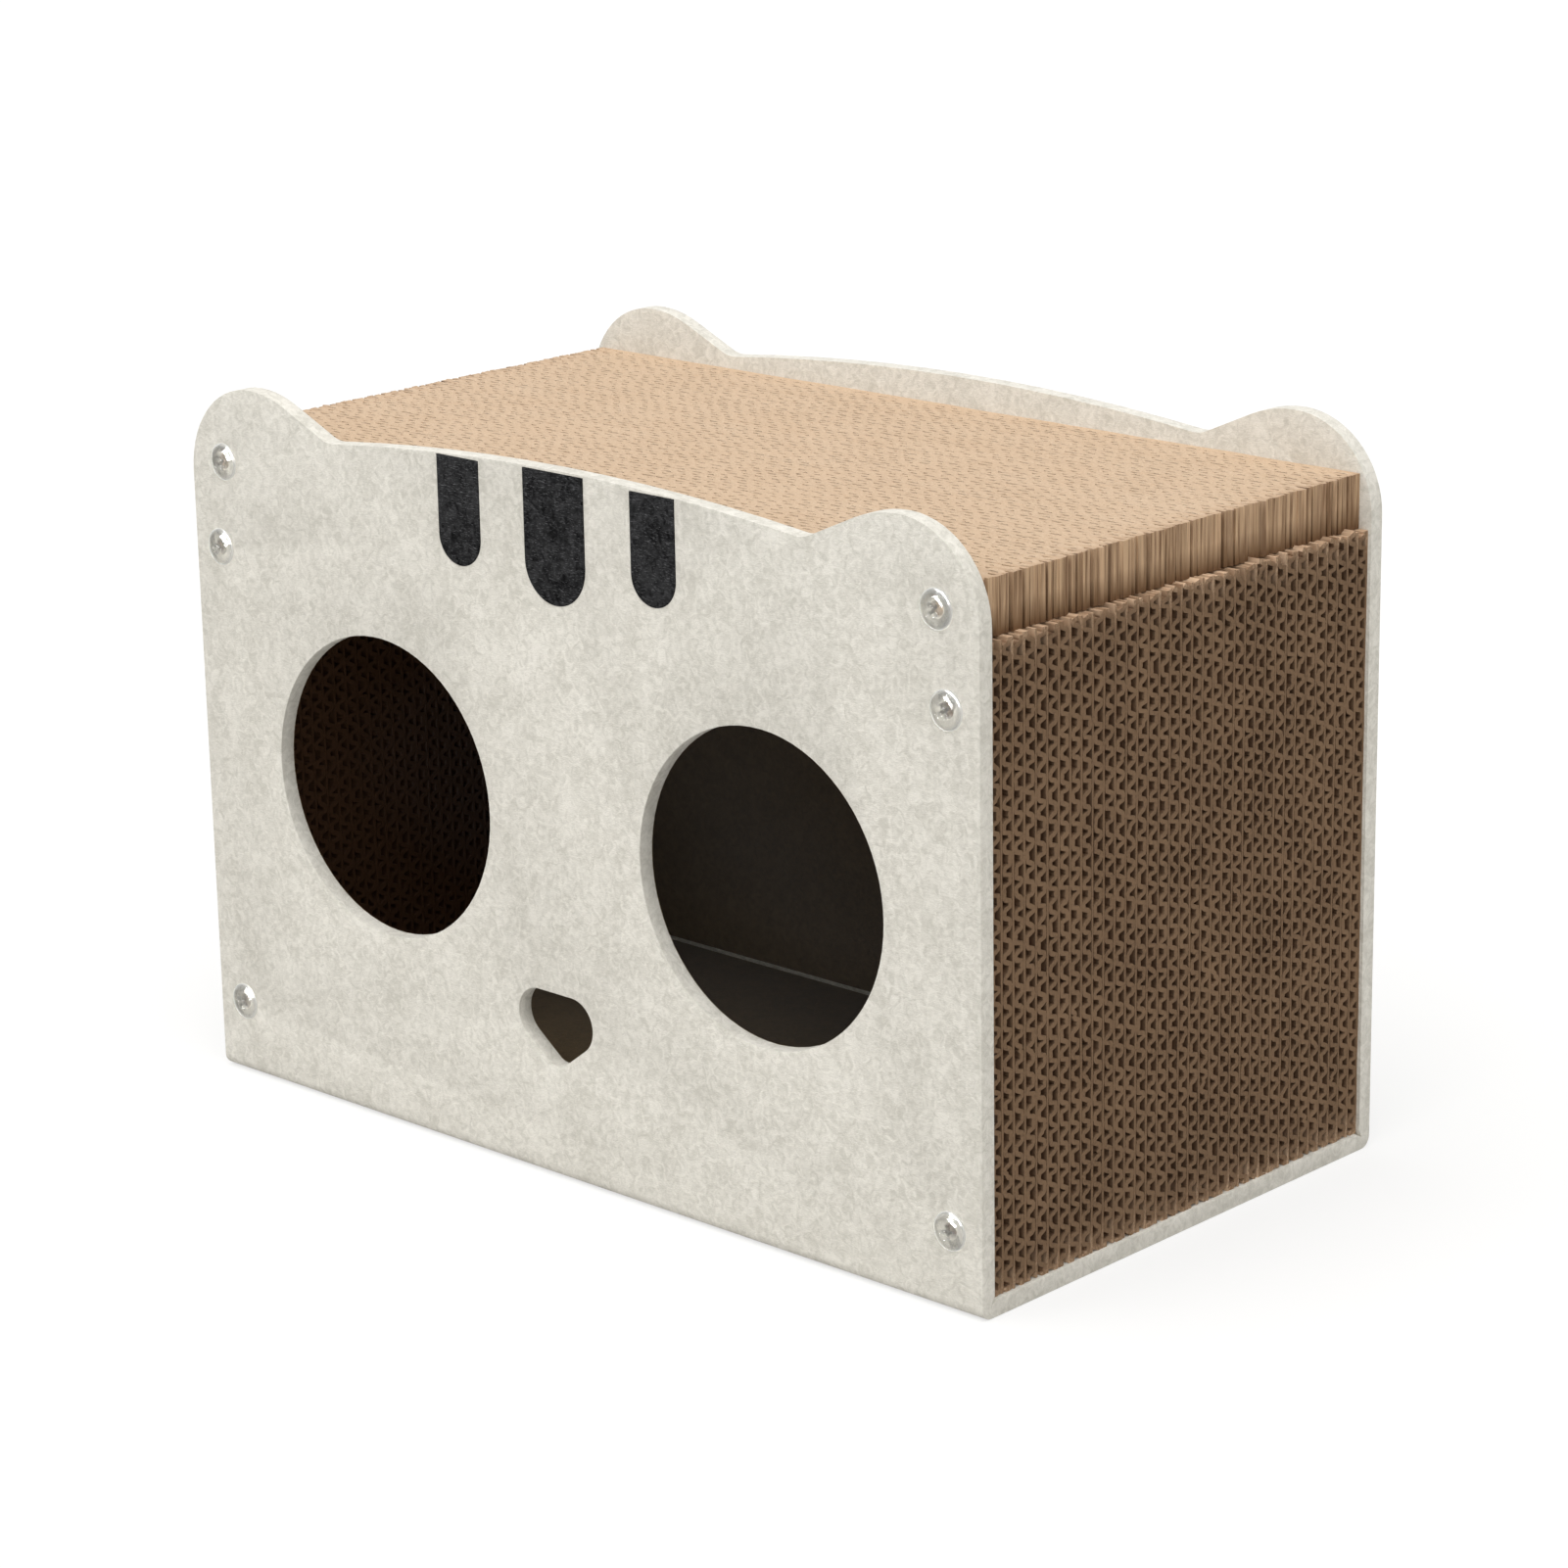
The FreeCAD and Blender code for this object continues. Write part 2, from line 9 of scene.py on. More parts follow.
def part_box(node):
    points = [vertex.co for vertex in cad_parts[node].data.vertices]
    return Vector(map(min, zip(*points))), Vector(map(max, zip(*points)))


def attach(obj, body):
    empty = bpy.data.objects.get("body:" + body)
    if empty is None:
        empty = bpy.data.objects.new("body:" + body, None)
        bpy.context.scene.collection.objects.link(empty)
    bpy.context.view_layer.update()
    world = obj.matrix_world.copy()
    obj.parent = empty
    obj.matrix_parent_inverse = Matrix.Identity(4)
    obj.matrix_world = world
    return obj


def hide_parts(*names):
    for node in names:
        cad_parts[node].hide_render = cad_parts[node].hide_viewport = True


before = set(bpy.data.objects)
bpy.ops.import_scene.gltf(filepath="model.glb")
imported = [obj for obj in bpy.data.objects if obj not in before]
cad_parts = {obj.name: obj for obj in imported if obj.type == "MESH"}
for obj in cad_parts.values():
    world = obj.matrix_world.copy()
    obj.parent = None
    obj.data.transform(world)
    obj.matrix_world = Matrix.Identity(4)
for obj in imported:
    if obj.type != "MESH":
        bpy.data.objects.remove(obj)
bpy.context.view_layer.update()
scene = bpy.context.scene

mm = 0.001

# Camera: the photograph's place and lens

cameraValues = {
    "place": (1.2187, -1.282, 0.6592),
    "yaw": 43.42,    # degrees to the left of straight at the front
    "pitch": 16.38,  # degrees down
    "roll": -1.01,
    "lens": 103.3,   # millimetres, as is the sensor
    "sensor": 36.0,
    "nearest": 0.05,
    "farthest": 60,
}


def makeCamera(values):
    yaw, pitch, roll = (math.radians(values[name]) for name in ("yaw", "pitch", "roll"))
    ahead = Vector((-math.sin(yaw) * math.cos(pitch), math.cos(yaw) * math.cos(pitch), -math.sin(pitch)))
    level = Vector((math.cos(yaw), math.sin(yaw), 0))
    upward = level.cross(ahead)
    right = level * math.cos(roll) + upward * math.sin(roll)
    top = upward * math.cos(roll) - level * math.sin(roll)
    camera = bpy.data.objects.new("photoCamera", bpy.data.cameras.new("photoCamera"))
    scene.collection.objects.link(camera)
    turn = Matrix((right, top, -ahead)).transposed()
    camera.matrix_world = Matrix.Translation(values["place"]) @ turn.to_4x4()
    camera.data.lens = values["lens"]
    camera.data.sensor_width = values["sensor"]
    camera.data.clip_start = values["nearest"]
    camera.data.clip_end = values["farthest"]
    scene.camera = camera


makeCamera(cameraValues)
print("camera set")


# Small helpers for node trees

def plug(tree, socket, value):
    if isinstance(value, bpy.types.NodeSocket):
        tree.links.new(value, socket)
    else:
        socket.default_value = value


def addNode(tree, kind, inputs=None, **settings):
    node = tree.nodes.new(kind)
    for name, value in settings.items():
        setattr(node, name, value)
    for name, value in (inputs or {}).items():
        plug(tree, node.inputs[name], value)
    return node


def calc(tree, operation, first, second=None, clamp=False):
    node = addNode(tree, "ShaderNodeMath", operation=operation, use_clamp=clamp)
    plug(tree, node.inputs[0], first)
    if second is not None:
        plug(tree, node.inputs[1], second)
    return node.outputs[0]


def blendColours(tree, share, first, second, mode="MIX"):
    node = addNode(tree, "ShaderNodeMix", data_type="RGBA", blend_type=mode, clamp_factor=True)
    plug(tree, node.inputs[0], share)
    plug(tree, node.inputs[6], first)   # 6, 7 and output 2 are the node's colour sockets
    plug(tree, node.inputs[7], second)
    return node.outputs[2]


def noiseOf(tree, vector, scale, detail=2.0, roughness=0.5, distortion=0.0):
    node = addNode(tree, "ShaderNodeTexNoise", {
        "Vector": vector, "Scale": scale, "Detail": detail, "Roughness": roughness, "Distortion": distortion,
    })
    return node.outputs[0]


def spreadOut(tree, value, low, high):
    node = addNode(tree, "ShaderNodeMapRange", {"Value": value, "From Min": low, "From Max": high})
    return node.outputs[0]


def stretched(tree, vector, turn, scale):
    node = addNode(tree, "ShaderNodeMapping", {
        "Vector": vector, "Rotation": [math.radians(angle) for angle in turn], "Scale": scale,
    })
    return node.outputs[0]


def fromScreen(red, green, blue):
    # a colour as a screen shows it, in Blender's own linear values
    def straight(level):
        share = level / 255
        return share / 12.92 if share <= 0.04045 else ((share + 0.055) / 1.055) ** 2.4
    return (straight(red), straight(green), straight(blue), 1.0)


def newMaterial(name):
    material = bpy.data.materials.new(name)
    material.use_nodes = True
    tree = material.node_tree
    tree.nodes.clear()
    surface = tree.nodes.new("ShaderNodeBsdfPrincipled")
    output = tree.nodes.new("ShaderNodeOutputMaterial")
    tree.links.new(surface.outputs[0], output.inputs[0])
    return material, tree, surface


def objectPlace(tree):
    return tree.nodes.new("ShaderNodeTexCoord").outputs["Object"]


def stored(tree, name):
    # a number that the shape carries at each point, read by its material
    return addNode(tree, "ShaderNodeAttribute", attribute_name=name).outputs["Fac"]


def addBump(tree, surface, strength, distance, height):
    bump = addNode(tree, "ShaderNodeBump", {"Strength": strength, "Distance": distance, "Height": height})
    tree.links.new(bump.outputs[0], surface.inputs["Normal"])


# Felt: heathered fibres pressed into a sheet

# the cabin lies between the side boards, between the panels and under the top board
cabinMargin = 0.3 * mm
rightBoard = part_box("right_side_board")
cabinEdge = Vector((rightBoard[0].x, rightBoard[1].y + cabinMargin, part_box("top_scratch_board")[0].z))
cabinFloor = rightBoard[0].z - cabinMargin

feltFibres = {
    "cloudScale": 70,
    "mottleScale": 260,
    "grainScale": 1500,
    # fibres lie in three directions: the turn in degrees and the stretch of each
    "layers": (((20, 35, 10), (420, 2600, 2600)),
               ((-30, 15, 70), (380, 2400, 2400)),
               ((40, -50, 130), (450, 2800, 2800))),
    "relief": 1.2 * mm,
    "sheenRoughness": 0.6,
}

feltValues = {
    "pale": {
        "dark": fromScreen(200, 196, 185),
        "light": fromScreen(226, 222, 212),
        "fibre": fromScreen(240, 237, 229),
        "shade": fromScreen(174, 168, 153),
        "fibreShare": 0.32,
        "bump": 0.35,
        "sheen": 0.12,
        "gloss": 0.1,
        # painted shade: the felt inside the cabin is multiplied by this tint
        "cabinShadeTint": (0.24, 0.17, 0.09, 1),
    },
    "black": {
        "dark": fromScreen(2, 2, 3),
        "light": fromScreen(52, 52, 53),
        "fibre": fromScreen(116, 116, 118),
        "shade": fromScreen(6, 6, 6),
        "fibreShare": 0.5,
        "bump": 0.6,
        "sheen": 0.0,
        "gloss": 0.02,
        "cabinShadeTint": (1, 1, 1, 1),
    },
}


def insideCabin(tree, place):
    # one on the faces that close the cabin, where the felt is painted darker as shade, and zero everywhere
    # else
    apart = addNode(tree, "ShaderNodeSeparateXYZ", {"Vector": place}).outputs
    within = calc(tree, "GREATER_THAN", apart["Z"], cabinFloor)
    within = calc(tree, "MULTIPLY", within, calc(tree, "LESS_THAN", apart["Z"], cabinEdge.z))
    for axis, edge in (("X", cabinEdge.x), ("Y", cabinEdge.y)):
        near = calc(tree, "LESS_THAN", calc(tree, "ABSOLUTE", apart[axis]), edge)
        within = calc(tree, "MULTIPLY", within, near)
    return within


def makeFelt(name, values):
    material, tree, surface = newMaterial(name)
    place = objectPlace(tree)
    clouds = noiseOf(tree, place, feltFibres["cloudScale"], detail=2)
    mottle = noiseOf(tree, place, feltFibres["mottleScale"], detail=4, roughness=0.6, distortion=1.2)
    grain = noiseOf(tree, place, feltFibres["grainScale"], detail=3, roughness=0.7)

    strands = [noiseOf(tree, stretched(tree, place, turn, scale), 1.0, detail=2, distortion=0.6)
               for turn, scale in feltFibres["layers"]]
    brightest = calc(tree, "MAXIMUM", calc(tree, "MAXIMUM", strands[0], strands[1]), strands[2])
    darkest = calc(tree, "MINIMUM", calc(tree, "MINIMUM", strands[0], strands[1]), strands[2])

    tone = calc(tree, "ADD", calc(tree, "MULTIPLY", clouds, 0.25), calc(tree, "MULTIPLY", mottle, 0.75))
    base = blendColours(tree, spreadOut(tree, tone, 0.38, 0.62), values["dark"], values["light"])
    paleShare = calc(tree, "MULTIPLY", spreadOut(tree, brightest, 0.62, 0.78), values["fibreShare"] * 1.6)
    darkShare = calc(tree, "MULTIPLY", spreadOut(tree, darkest, 0.38, 0.24), values["fibreShare"])
    base = blendColours(tree, paleShare, base, values["fibre"])
    base = blendColours(tree, darkShare, base, values["shade"])
    # painted shade: the felt inside the cabin is darkened
    base = blendColours(tree, insideCabin(tree, place), base, values["cabinShadeTint"], mode="MULTIPLY")
    plug(tree, surface.inputs["Base Color"], base)
    plug(tree, surface.inputs["Roughness"], spreadOut(tree, grain, -0.6, 0.8))
    surface.inputs["Specular IOR Level"].default_value = values["gloss"]
    surface.inputs["Sheen Weight"].default_value = values["sheen"]
    surface.inputs["Sheen Roughness"].default_value = feltFibres["sheenRoughness"]

    relief = calc(tree, "ADD", calc(tree, "MULTIPLY", brightest, 0.6), calc(tree, "MULTIPLY", grain, 0.5))
    relief = calc(tree, "ADD", relief, calc(tree, "MULTIPLY", mottle, 0.8))
    addBump(tree, surface, values["bump"], feltFibres["relief"], relief)
    return material


paleFelt = makeFelt("paleFelt", feltValues["pale"])
blackFelt = makeFelt("blackFelt", feltValues["black"])


# Kraft paper: each strip has a tone of its own, and its cut edges, its flutes and its ends differ in colour.
# Light and shade are painted in as well: inside the flutes, on the faces towards the cabin, over the side
# boards' paper and on their ends.

paperGrain = {
    "cloudScale": 45,
    "pulpScale": 900,
    "endLayers": (22, 620, 22),  # stretch of the thin layers that show on the strips' ends
    "relief": 0.4 * mm,
    "gloss": 0.2,
}

paperValues = {
    "top": {
        "dark": fromScreen(206, 180, 150),
        "light": fromScreen(217, 195, 168),
        "cut": fromScreen(186, 159, 132),
        # painted light: the walls inside the openings are lighter than the cut edges, for light bounced into
        # them
        "deep": fromScreen(220, 191, 159),
        "end": fromScreen(190, 159, 126),
        "endShade": fromScreen(118, 90, 65),
        # painted shade on the faces towards the cabin
        "cabin": fromScreen(110, 82, 56),
        # how far in from the cut face the walls are painted as lit
        "rim": 0.55,
        "bump": 0.5,
    },
    # painted shade: the side boards are the top's kraft paper, painted darker for the shade on the house's
    # sides
    "side": {
        "dark": fromScreen(68, 49, 34),
        "light": fromScreen(135, 109, 84),
        "cut": fromScreen(121, 96, 72),
        # painted shade: the walls inside the openings are dark, as in shadow
        "deep": fromScreen(108, 81, 59),
        # painted light: the strips' ends are painted lighter, as the ledge they make on top is lit from above
        "end": fromScreen(224, 192, 160),
        "endShade": fromScreen(156, 125, 97),
        # painted shade on the faces towards the cabin
        "cabin": fromScreen(74, 50, 32),
        "rim": 0.08,
        "bump": 0.5,
    },
}


def makePaper(name, values):
    material, tree, surface = newMaterial(name)
    place = objectPlace(tree)
    stripTone = stored(tree, "stripTone")
    cutEdge = stored(tree, "cutEdge")
    faceLevel = stored(tree, "faceLevel")  # from -1 on the outer cut face to 1 on the one towards the cabin
    stripEnd = stored(tree, "stripEnd")
    clouds = noiseOf(tree, place, paperGrain["cloudScale"], detail=2)
    pulp = noiseOf(tree, place, paperGrain["pulpScale"], detail=5, roughness=0.7)
    tone = calc(tree, "ADD", calc(tree, "MULTIPLY", clouds, 0.45), calc(tree, "MULTIPLY", pulp, 0.45))
    tone = calc(tree, "ADD", tone, calc(tree, "MULTIPLY", stripTone, 0.1))
    base = blendColours(tree, spreadOut(tree, tone, 0.34, 0.66), values["dark"], values["light"])
    # the ends show the edges of many layers of paper
    layerPlace = stretched(tree, place, (0, 0, 0), paperGrain["endLayers"])
    layers = noiseOf(tree, layerPlace, 1.0, detail=3, roughness=0.6)
    ends = blendColours(tree, spreadOut(tree, layers, 0.36, 0.6), values["endShade"], values["end"])
    inner = blendColours(tree, stripEnd, values["deep"], ends)
    # painted light and shade in the flutes: past a rim near the cut face the walls inside take the deep
    # colour
    depth = calc(tree, "ABSOLUTE", faceLevel)
    litNearFace = spreadOut(tree, depth, 1.0 - 1.6 * values["rim"], 1.0 - 0.5 * values["rim"])
    awayFromEnd = calc(tree, "SUBTRACT", 1.0, spreadOut(tree, stripEnd, 0.05, 0.6))
    base = blendColours(tree, calc(tree, "MULTIPLY", litNearFace, awayFromEnd), inner, base)
    cutShare = calc(tree, "MULTIPLY", cutEdge, spreadOut(tree, pulp, 0.2, 0.62))
    base = blendColours(tree, cutShare, base, values["cut"])
    # painted shade: the faces towards the cabin are painted darker, for the shade inside the closed house
    cabinShadeShare = spreadOut(tree, faceLevel, 0.0, 0.9)
    base = blendColours(tree, cabinShadeShare, base, values["cabin"])
    plug(tree, surface.inputs["Base Color"], base)
    plug(tree, surface.inputs["Roughness"], spreadOut(tree, pulp, -1.5, 0.9))
    surface.inputs["Specular IOR Level"].default_value = paperGrain["gloss"]
    addBump(tree, surface, values["bump"], paperGrain["relief"], pulp)
    return material


topPaper = makePaper("topPaper", paperValues["top"])
shadedSidePaper = makePaper("shadedSidePaper", paperValues["side"])


# Clear plastic of the screws

plasticValues = {
    "tint": fromScreen(246, 246, 242),
    "refraction": 1.49,
    "clearness": 0.85,
    # painted highlight: the rim is less clear and more solid than the rest
    "highlightRimClearness": 0.3,
    "solidity": 0.34,
    "highlightRimSolidity": 0.7,
    # painted shade: the recess is dark grey and nearly solid
    "recessShadeTint": fromScreen(84, 83, 78),
    "recessShadeClearness": 0.3,
    "recessShadeSolidity": 0.75,
    "polish": 0.05,
    "hazeScale": 700,
    "bump": 0.08,
    "relief": 0.4 * mm,
}


def makeClearPlastic(values):
    material, tree, surface = newMaterial("clearPlastic")
    place = objectPlace(tree)
    haze = noiseOf(tree, place, values["hazeScale"], detail=2)
    plug(tree, surface.inputs["Roughness"], spreadOut(tree, haze, 0.2, 6.0))
    surface.inputs["Coat Weight"].default_value = 1.0
    surface.inputs["Coat Roughness"].default_value = values["polish"]
    # the rim is painted whiter and more solid, a painted highlight for the light it catches from all around,
    # and the recess is painted dark grey, a painted shade for how it looks through the plastic
    rim = stored(tree, "rimHighlightShare")
    recess = stored(tree, "recessShadeShare")
    plug(tree, surface.inputs["Base Color"], blendColours(tree, recess, values["tint"], values["recessShadeTint"]))
    for name, middle, edge, deep in (("Transmission Weight", "clearness", "highlightRimClearness", "recessShadeClearness"),
                                     ("Alpha", "solidity", "highlightRimSolidity", "recessShadeSolidity")):
        level = addNode(tree, "ShaderNodeMapRange", {
            "Value": rim, "To Min": values[middle], "To Max": values[edge],
        })
        level = addNode(tree, "ShaderNodeMapRange", {
            "Value": recess, "To Min": level.outputs[0], "To Max": values[deep],
        })
        plug(tree, surface.inputs[name], level.outputs[0])
    surface.inputs["IOR"].default_value = values["refraction"]
    addBump(tree, surface, values["bump"], values["relief"], haze)
    return material


clearPlastic = makeClearPlastic(plasticValues)
print("materials made")


# Pieces that follow a solid of the frame, with soft edges

feltEdgeValues = {
    "wrapRounding": 1.1 * mm,
    "stripeRounding": 0.28 * mm,
    "rings": 3,
    "roundedAbove": 40,  # degrees between two faces whose edge is rounded
}
mergeWithin = 0.002 * mm
flatWithin = 0.4   # degrees between faces that are taken as one
sharpAbove = 50    # degrees between faces that aren't shaded as one


def copyOfNode(name, pieceName, material):
    shape = bmesh.new()
    shape.from_mesh(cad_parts[name].data)
    bmesh.ops.remove_doubles(shape, verts=shape.verts, dist=mergeWithin)
    bmesh.ops.dissolve_limit(shape, angle_limit=math.radians(flatWithin),
                             verts=shape.verts, edges=shape.edges)
    mesh = bpy.data.meshes.new(pieceName)
    shape.to_mesh(mesh)
    shape.free()
    mesh.materials.clear()
    mesh.materials.append(material)
    piece = bpy.data.objects.new(pieceName, mesh)
    scene.collection.objects.link(piece)
    return piece


def settle(piece):
    # the evaluated shape becomes the piece's own mesh, and its modifiers go
    evaluated = piece.evaluated_get(bpy.context.evaluated_depsgraph_get())
    mesh = bpy.data.meshes.new_from_object(evaluated)
    piece.modifiers.clear()
    piece.data = mesh


def shadeSmooth(piece):
    piece.data.shade_smooth()
    piece.data.set_sharp_from_angle(angle=math.radians(sharpAbove))


def softenEdges(piece, width, values):
    bevel = piece.modifiers.new("softEdges", "BEVEL")
    bevel.width = width
    bevel.segments = values["rings"]
    bevel.limit_method = "ANGLE"
    bevel.angle_limit = math.radians(values["roundedAbove"])
    bevel.use_clamp_overlap = True
    settle(piece)
    shadeSmooth(piece)


feltWrap = copyOfNode("felt_wrap", "feltWrap", paleFelt)
softenEdges(feltWrap, feltEdgeValues["wrapRounding"], feltEdgeValues)
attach(feltWrap, "root")
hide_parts("felt_wrap")
print("felt wrap made")

for nodeName, pieceName in (("left_stripe", "leftStripe"), ("centre_stripe", "centreStripe"),
                            ("right_stripe", "rightStripe")):
    stripe = copyOfNode(nodeName, pieceName, blackFelt)
    softenEdges(stripe, feltEdgeValues["stripeRounding"], feltEdgeValues)
    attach(stripe, "root")
    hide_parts(nodeName)
print("stripes made")


# Scratch boards: corrugated strips glued flat to flat, with their cut edges on the board's two faces

boardValues = {
    "strips": 35,
    "fluteLength": 8.26 * mm,
    "stepsPerFlute": 11,
    "fluteShift": 0.28,   # part of a flute from one strip to the next
    "shiftSpread": 0.2,
    "squareness": 3.0,    # how flat the wave's crests are
    "ripple": 0.75,       # how uneven the waves are
    "flutePaper": 2.0 * mm,
    "linerPaper": 1.05 * mm,
    "linerStep": 16 * mm,
    "crush": 0.35,        # how much lower the weakest waves are
    "sway": 0.9 * mm,
    "shuffle": 0.5 * mm,  # how far a strip lies ahead of or behind its neighbours
    "fray": 0.25 * mm,
    "endDepth": 4 * mm,   # how far in from a strip's end its colour reaches
}

# scratched edges spread a little
topBoardValues = dict(
    boardValues,
    flutePaper=2.7 * mm,
    linerPaper=2.3 * mm,
    shiftSpread=0.5,
    ripple=1.1,
)


def newGeometryTree(name, inputs):
    # the inputs' kinds by name, and the identifiers of their sockets for a modifier
    tree = bpy.data.node_groups.new(name, "GeometryNodeTree")
    sockets = {}
    for inputName, kind in inputs.items():
        socket = tree.interface.new_socket(name=inputName, in_out="INPUT", socket_type="NodeSocket" + kind)
        sockets[inputName] = socket.identifier
    tree.interface.new_socket(name="Geometry", in_out="OUTPUT", socket_type="NodeSocketGeometry")
    given = tree.nodes.new("NodeGroupInput").outputs
    result = tree.nodes.new("NodeGroupOutput").inputs[0]
    return tree, sockets, given, result


def carried(tree, name):
    # a number that the points carry, read by a tree
    return addNode(tree, "GeometryNodeInputNamedAttribute", {"Name": name}, data_type="FLOAT").outputs[0]


def store(tree, geometry, name, value, domain):
    node = addNode(tree, "GeometryNodeStoreNamedAttribute", {
        "Geometry": geometry, "Name": name, "Value": value,
    }, data_type="FLOAT", domain=domain)
    return node.outputs[0]


def randomBetween(tree, least, most, seed):
    node = addNode(tree, "FunctionNodeRandomValue", {"Seed": seed}, data_type="FLOAT")
    plug(tree, node.inputs[2], least)
    plug(tree, node.inputs[3], most)
    return node.outputs[1]


def finishTree(tree, geometry, material, result):
    solid = addNode(tree, "GeometryNodeRealizeInstances", {"Geometry": geometry})
    finished = addNode(tree, "GeometryNodeSetMaterial", {"Geometry": solid.outputs[0], "Material": material})
    tree.links.new(finished.outputs[0], result)


swellScale = 55    # noise that bends whole strips
rippleScale = 240  # noise that makes single waves uneven


def makeRibbonTree():
    # one ribbon of paper along X for each incoming point, waved across Y and standing along Z
    tree, _, given, result = newGeometryTree("paperRibbons", {
        "Strips": "Geometry", "Length": "Float", "Step": "Float", "Depth": "Float", "Paper": "Float",
        "Flute Length": "Float", "Squareness": "Float", "Ripple": "Float", "Crush": "Float", "Sway": "Float",
    })

    steps = calc(tree, "ROUND", calc(tree, "DIVIDE", given["Length"], given["Step"]))
    start = addNode(tree, "ShaderNodeCombineXYZ", {"X": calc(tree, "MULTIPLY", given["Length"], -0.5)})
    stride = addNode(tree, "ShaderNodeCombineXYZ", {"X": calc(tree, "DIVIDE", given["Length"], steps)})
    line = addNode(tree, "GeometryNodeMeshLine", {
        "Count": calc(tree, "ADD", steps, 1.0),
        "Start Location": start.outputs[0],
        "Offset": stride.outputs[0],
    }, mode="OFFSET")
    rows = addNode(tree, "GeometryNodeInstanceOnPoints", {
        "Points": given["Strips"], "Instance": line.outputs[0],
    })
    loose = addNode(tree, "GeometryNodeRealizeInstances", {"Geometry": rows.outputs[0]})

    position = addNode(tree, "GeometryNodeInputPosition").outputs[0]
    along = addNode(tree, "ShaderNodeSeparateXYZ", {"Vector": position}).outputs["X"]
    swell = noiseOf(tree, position, swellScale, detail=1)
    ripple = noiseOf(tree, position, rippleScale, detail=1)
    turns = calc(tree, "DIVIDE", along, given["Flute Length"])
    turns = calc(tree, "ADD", turns, carried(tree, "stripPhase"))
    turns = calc(tree, "ADD", turns, calc(tree, "MULTIPLY", ripple, given["Ripple"]))
    wave = calc(tree, "SINE", calc(tree, "MULTIPLY", turns, 2 * math.pi))
    wave = calc(tree, "MULTIPLY", wave, given["Squareness"])
    wave = calc(tree, "MAXIMUM", calc(tree, "MINIMUM", wave, 1.0), -1.0)
    slack = calc(tree, "MULTIPLY", given["Crush"], calc(tree, "MULTIPLY", swell, ripple))
    reach = calc(tree, "MULTIPLY", carried(tree, "stripSwing"), calc(tree, "SUBTRACT", 1.0, slack))
    drift = calc(tree, "MULTIPLY", calc(tree, "SUBTRACT", swell, 0.5), given["Sway"])
    drift = calc(tree, "MULTIPLY", drift, carried(tree, "stripFreedom"))
    across = calc(tree, "ADD", calc(tree, "MULTIPLY", wave, reach), drift)
    shift = addNode(tree, "ShaderNodeCombineXYZ", {"Y": across})
    waved = addNode(tree, "GeometryNodeSetPosition", {
        "Geometry": loose.outputs[0], "Offset": shift.outputs[0],
    })

    curve = addNode(tree, "GeometryNodeMeshToCurve", {"Mesh": waved.outputs[0]})
    upright = addNode(tree, "GeometryNodeSetCurveNormal", {"Curve": curve.outputs[0]}, mode="Z_UP")
    section = addNode(tree, "GeometryNodeCurvePrimitiveQuadrilateral", {
        "Width": given["Paper"], "Height": given["Depth"],
    }, mode="RECTANGLE")
    ribbon = addNode(tree, "GeometryNodeCurveToMesh", {
        "Curve": upright.outputs[0], "Profile Curve": section.outputs[0], "Fill Caps": True,
    })
    tree.links.new(ribbon.outputs[0], result)
    return tree


